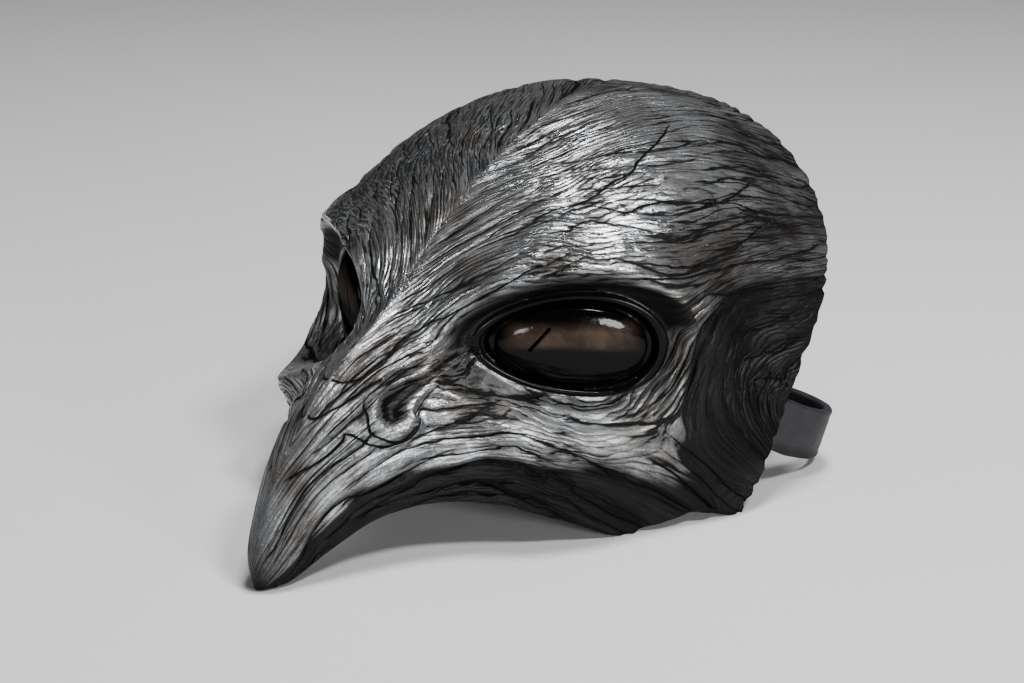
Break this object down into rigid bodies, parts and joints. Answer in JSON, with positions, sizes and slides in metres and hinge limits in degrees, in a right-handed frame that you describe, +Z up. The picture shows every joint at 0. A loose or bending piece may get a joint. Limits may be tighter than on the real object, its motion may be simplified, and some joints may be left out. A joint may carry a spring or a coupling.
{
  "type": "metal bird half mask",
  "caption": "Hollow cast half mask in the form of a bird's head, with a hooked beak, domed eyes and ridges carved like bark, worn with a head strap.",
  "frame": {"origin": "middle of the footprint, on the surface the mask lies on", "axes": "+Z up, beak and face towards -Y, the wearer's left towards +X"},
  "size_m": [0.1614, 0.196, 0.11],
  "materials": {
    "cast_metal": "cast metal with a near black patina in the grooves and burnished silver grey ridges",
    "eye_gloss": "dark high gloss, with a brown iris",
    "strap_leather": "dark grey matt leather with a brown cut edge"
  },
  "bodies": {
    "root": {"mask_shell": "cast_metal", "eye_left": "eye_gloss", "eye_right": "eye_gloss", "head_strap": "strap_leather"}
  },
  "joints": []
}
